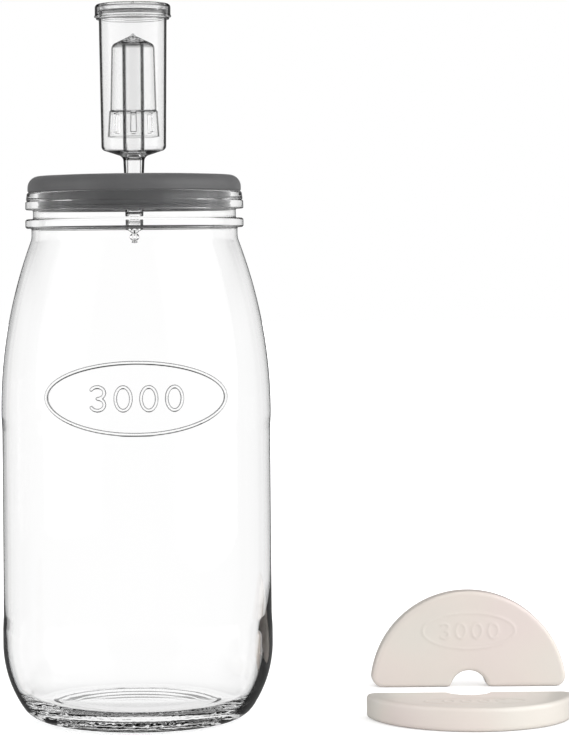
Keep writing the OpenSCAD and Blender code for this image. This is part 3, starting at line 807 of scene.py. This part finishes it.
def makeBell():
    coneT = bell["wall"] / math.cos(math.radians(bell["coneSlope"]))
    apex = chimneyTop + bell["seatGap"] + cup["chimneyR"] * coneTan + coneT
    rim = apex - bell["height"]
    skirtTop = rim + bell["skirtH"]
    shoulderZ = apex - bell["topR"] * coneTan
    wall, shoulderR = bell["wall"], bell["shoulderR"]
    innerStep = skirtTop - wall * 0.6
    corners = [
        (0, apex + 0.5), (0.6, apex + 0.3, 0.3), (0.9, apex - 0.9 * coneTan, 0.4),
        (bell["topR"], shoulderZ, shoulderR), (bell["stepR"], skirtTop + bell["stepH"], 0.3),
        (bell["skirtTopR"], skirtTop, 0.4), (bell["skirtR"], rim, 0.3), (bell["skirtR"] - wall, rim, 0.3),
        (bell["skirtTopR"] - wall, innerStep, 0.3), (bell["stepR"] - wall, innerStep + bell["stepH"], 0.3),
        (bell["topR"] - wall, shoulderZ - coneT + wall * coneTan, shoulderR - wall), (0, apex - coneT)]
    body = turnedPiece("bellBody", roundedOutline(corners)[::-1], airlockPlastic, closed=False,
                       Segments=bell["segments"])
    size = (3 * wall + bell["skirtR"] - bell["stepR"], bell["slotW"], bell["slotH"])
    piece = baked(fixNormals(body), "airlockBell", piercedTree, {
        "Count": bell["slots"], "Ring Radius": (bell["stepR"] - 2 * wall + size[0] / 2) * mm,
        "Height": (rim + bell["slotRing"] + bell["slotH"] / 2) * mm, "Size": [v * mm for v in size],
        "Round": False, "Draft": bell["draft"], "Material": airlockPlastic})
    piece = smoothed(piece, airlockSharpAngle)
    place(piece, "bell", "airlock_bell", bellPlastic)


def makeCap():
    lipZ = capTop - cap["height"]
    corners = [
        (0, capTop), (cap["r"], capTop, cap["edgeR"]), (cap["r"], lipZ + 1.1, 0.5),
        (cap["lipR"], lipZ + 0.4, 0.2), (cap["lipR"], lipZ, 0.1), (capBore + 0.2, lipZ, 0.2),
        (capBore, lipZ + 1.2), (capBore, cupRim, cap["cornerR"]), (0, cupRim)]
    body = turnedPiece("capBody", roundedOutline(corners)[::-1], airlockPlastic, closed=False,
                       Segments=cap["segments"])
    piece = baked(fixNormals(body), "airlockCap", piercedTree, {
        "Count": cap["vents"], "Ring Radius": cap["ventRing"] * mm,
        "Height": (cupRim + cap["thick"] / 2) * mm,
        "Size": [2 * cap["ventR"] * mm, 2 * cap["ventR"] * mm, (cap["thick"] + 2) * mm], "Round": True,
        "Material": airlockPlastic})
    piece = smoothed(piece, airlockSharpAngle)
    place(piece, "cap", "airlock_cap", airlockPlastic)


makeCup()
makeBell()
makeCap()
print("airlock made")


# Weights: a soft-edged half disc with raised lines, melted together as under a glaze

weight = dict(r=52.8, thick=12, holeR=9.9, setback=1.1, cornerR=5.6, notchR=2.5, edgeR=2.0, ovalY=31.5,
              ovalW=25.0, ovalH=9.6, digitH=8.0, digitW=5.2, digitPitch=8.8, lineR=0.75, sink=0.35,
              voxel=0.55, softening=0.5, softenings=3)


def halfDisc(inset):
    # Plan of the half disc, its straight edge towards -Y, smaller all round by inset
    discR, holeR = weight["r"] - inset, weight["holeR"] + inset
    edgeY, cornerR, notchR = weight["setback"] + inset, weight["cornerR"] - inset, weight["notchR"] - inset
    cx, cy = math.sqrt((discR - cornerR) ** 2 - (edgeY + cornerR) ** 2), edgeY + cornerR
    nx, ny = math.sqrt((holeR + notchR) ** 2 - (edgeY + notchR) ** 2), edgeY + notchR
    cTurn, nTurn = math.degrees(math.atan2(cy, cx)), math.degrees(math.atan2(ny, nx))

    def stretch(centre, radius, start, end, steps):
        angles = [math.radians(start + (end - start) * k / steps) for k in range(steps + 1)]
        return [(centre[0] + radius * math.cos(a), centre[1] + radius * math.sin(a)) for a in angles]

    return (stretch((cx, cy), cornerR, -90, cTurn, 10) + stretch((0, 0), discR, cTurn, 180 - cTurn, 120)
            + stretch((-cx, cy), cornerR, 180 - cTurn, 270, 10)
            + stretch((-nx, ny), notchR, 270, 360 - nTurn, 8) + stretch((0, 0), holeR, 180 - nTurn, nTurn, 36)
            + stretch((nx, ny), notchR, 180 + nTurn, 270, 8))


def makeRaisedTree():
    tree, given = newTree("raised", {
        "Lines": ("NodeSocketObject", None), "Line Radius": ("NodeSocketFloat", 0.7 * mm),
        "Material": ("NodeSocketMaterial", None)})
    lines = addNode(tree, "GeometryNodeObjectInfo", {"Object": given["Lines"]}).outputs["Geometry"]
    curve = addNode(tree, "GeometryNodeMeshToCurve", {0: lines}).outputs[0]
    section = addNode(tree, "GeometryNodeCurvePrimitiveCircle", {
        "Resolution": 12, "Radius": given["Line Radius"]}).outputs[0]
    ridge = addNode(tree, "GeometryNodeCurveToMesh", {
        "Curve": curve, "Profile Curve": section, "Fill Caps": True}).outputs[0]
    join = tree.nodes.new("GeometryNodeJoinGeometry")
    tree.links.new(ridge, join.inputs[0])
    tree.links.new(given["Geometry"], join.inputs[0])
    finishTree(tree, join.outputs[0], given["Material"])
    return tree


raisedTree = makeRaisedTree()


def makeWeight(name, body, node, matrix):
    edge, thick = weight["edgeR"], weight["thick"]
    angles = [math.radians(a) for a in range(0, 91, 15)]
    quarter = [(edge * (1 - math.sin(a)), edge * (1 - math.cos(a))) for a in angles]
    levels = quarter + [(inset, thick - z) for inset, z in quarter[::-1]]
    rings = [[(x * mm, y * mm, z * mm) for x, y in halfDisc(inset)] for inset, z in levels]
    count = len(rings[0])
    faces = [list(range(count))[::-1], [(len(rings) - 1) * count + k for k in range(count)]]
    for r in range(len(rings) - 1):
        here, above = r * count, (r + 1) * count
        for k in range(count):
            following = (k + 1) % count
            faces.append([here + k, here + following, above + following, above + k])
    mesh = bpy.data.meshes.new(name)
    mesh.from_pydata([p for ring in rings for p in ring], [], faces)
    lines = [[(x, z, (thick - weight["sink"]) * mm) for x, y, z in line] for line in (
        ellipseLine(weight["ovalW"], weight["ovalH"], 0, weight["ovalY"], 96),
        *digitLines("3000", 0, weight["ovalY"], weight["digitW"], weight["digitH"], weight["digitPitch"]))]
    wire = wireObject("lines", lines)
    blank = fixNormals(link(bpy.data.objects.new(name + "Blank", mesh)))
    ridged = baked(blank, name + "Ridged", raisedTree, {
        "Lines": wire, "Line Radius": weight["lineR"] * mm, "Material": weightCeramic})
    bpy.data.objects.remove(wire)
    remesh = ridged.modifiers.new("melt", "REMESH")
    remesh.mode = "VOXEL"
    remesh.voxel_size = weight["voxel"] * mm
    soften = ridged.modifiers.new("soften", "SMOOTH")
    soften.factor, soften.iterations = weight["softening"], weight["softenings"]
    piece = baked(ridged, name)
    piece.data.transform(matrix)
    piece.data.shade_smooth()
    place(piece, body, node, weightCeramic)


def makeWeights():
    setback = weight["setback"] * mm
    low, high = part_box("weight_standing")
    middle = (low + high) / 2
    onEdge = Matrix.Rotation(math.pi / 2, 4, "X")
    makeWeight("weightStanding", "half_standing", "weight_standing",
               Matrix.Translation((middle.x, high.y, -setback)) @ onEdge)
    low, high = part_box("weight_lying")
    middle = (low + high) / 2
    turnedRound = Matrix.Rotation(math.pi, 4, "Z")
    makeWeight("weightLying", "half_lying", "weight_lying",
               Matrix.Translation((middle.x, high.y + setback, 0)) @ turnedRound)


makeWeights()
print("weights made")


# Floor, light and background

studio = dict(
    floorR=7.0, floorColor=0.82, floorRoughness=0.9,
    floorGlow=0.35, glowR=(0.4, 0.9),     # the glow close by, and the distances over which it rises to white
    skyDiffuse=0.85,                      # the brightness that lights the surfaces
    screens=8, gap=0.8,                   # pale screens round the table, and the brightness between them
    gapWave=(-0.85, -0.45),
    even=0.75, evenX=(0.0, 0.3),          # how much fainter the gaps are on the right
    ceiling=0.12, ceilingZ=(0.13, 0.3),
    gloss=0.15,                           # the brightness in reflections
)
lampAim = (0.05, 0, 0.2)
lamps = dict(
    keyLamp=dict(at=(1.9, -0.9, 1.0), size=(3.0, 2.6), power=45),
    fillLamp=dict(at=(-2.1, -0.8, 1.0), size=(2.4, 2.0), power=16),
)


def makeFloor():
    mesh = bpy.data.meshes.new("floor")
    steps = 64
    angles = [2 * math.pi * k / steps for k in range(steps)]
    ring = [(studio["floorR"] * math.cos(a), studio["floorR"] * math.sin(a), 0) for a in angles]
    mesh.from_pydata(ring, [], [list(range(steps))])
    floor = link(bpy.data.objects.new("floor", mesh))
    material, tree, shader = newMaterial("floorWhite")
    shader.inputs["Base Color"].default_value = (studio["floorColor"],) * 3 + (1,)
    shader.inputs["Roughness"].default_value = studio["floorRoughness"]
    shader.inputs["Specular IOR Level"].default_value = 0.0
    shader.inputs["Emission Color"].default_value = (1, 1, 1, 1)
    path = tree.nodes.new("ShaderNodeLightPath").outputs
    # further off the floor glows white, and close by it keeps the object's shadow
    off = vectorMaths(tree, "LENGTH", {0: objectCoords(tree)})["Value"]
    glow = mapped(tree, off, *studio["glowR"], studio["floorGlow"], 1.0)
    tree.links.new(product(tree, path["Is Camera Ray"], glow), shader.inputs["Emission Strength"])
    # glass and gloss see the pale surroundings through it
    letThrough(tree, shader, maths(tree, "MAXIMUM", path["Is Glossy Ray"], path["Is Transmission Ray"]))
    floor.data.materials.append(material)


def makeWorld():
    world = bpy.data.worlds.new("studio")
    bpy.context.scene.world = world
    world.use_nodes = True
    tree = world.node_tree
    background = tree.nodes["Background"]
    path = tree.nodes.new("ShaderNodeLightPath").outputs
    camera, glossy, transmitted = path["Is Camera Ray"], path["Is Glossy Ray"], path["Is Transmission Ray"]
    direction = parted(tree, tree.nodes.new("ShaderNodeTexCoord").outputs["Generated"])
    # pale screens stand round the table, with slightly darker gaps between them and a dark ceiling
    turn = maths(tree, "ARCTAN2", direction["Y"], direction["X"])
    wave = maths(tree, "COSINE", product(tree, turn, studio["screens"]))
    gaps = mapped(tree, wave, *studio["gapWave"], studio["gap"], 1.0, smooth=True)
    # on the right the gaps are fainter
    even = mapped(tree, direction["X"], *studio["evenX"], 0.0, studio["even"])
    gaps = total(tree, gaps, product(tree, maths(tree, "SUBTRACT", 1, gaps), even))
    dome = mapped(tree, direction["Z"], *studio["ceilingZ"], 1.0, studio["ceiling"], smooth=True)
    # what gloss shows is dimmer than what shows through glass
    reflected = maths(tree, "SUBTRACT", glossy, transmitted)
    dim = mapped(tree, reflected, 0.0, 1.0, 1.0, studio["gloss"])
    # the camera sees plain white, gloss and glass see the screens, and all else gets an even light
    lit = maths(tree, "MAXIMUM", maths(tree, "MAXIMUM", camera, glossy), transmitted)
    seen = maths(tree, "MAXIMUM", product(tree, lit, product(tree, dome, gaps, dim)), camera)
    soft = product(tree, maths(tree, "SUBTRACT", 1, lit), studio["skyDiffuse"])
    tree.links.new(total(tree, seen, soft), background.inputs["Strength"])
    background.inputs["Color"].default_value = (1, 1, 1, 1)


def makeLamp(name, at, size, power):
    data = bpy.data.lights.new(name, "AREA")
    data.shape = "RECTANGLE"
    data.size, data.size_y = size
    data.energy = power
    lamp = link(bpy.data.objects.new(name, data))
    lamp.location = at
    lamp.rotation_euler = (Vector(lampAim) - Vector(at)).to_track_quat("-Z", "Y").to_euler()


makeFloor()
makeWorld()
for lampName, settings in lamps.items():
    makeLamp(lampName, **settings)
print("studio made")

scene = bpy.context.scene
scene.view_settings.view_transform = "Standard"
scene.cycles.max_bounces = 36
scene.cycles.transmission_bounces = 36
scene.cycles.transparent_max_bounces = 24
scene.cycles.glossy_bounces = 10
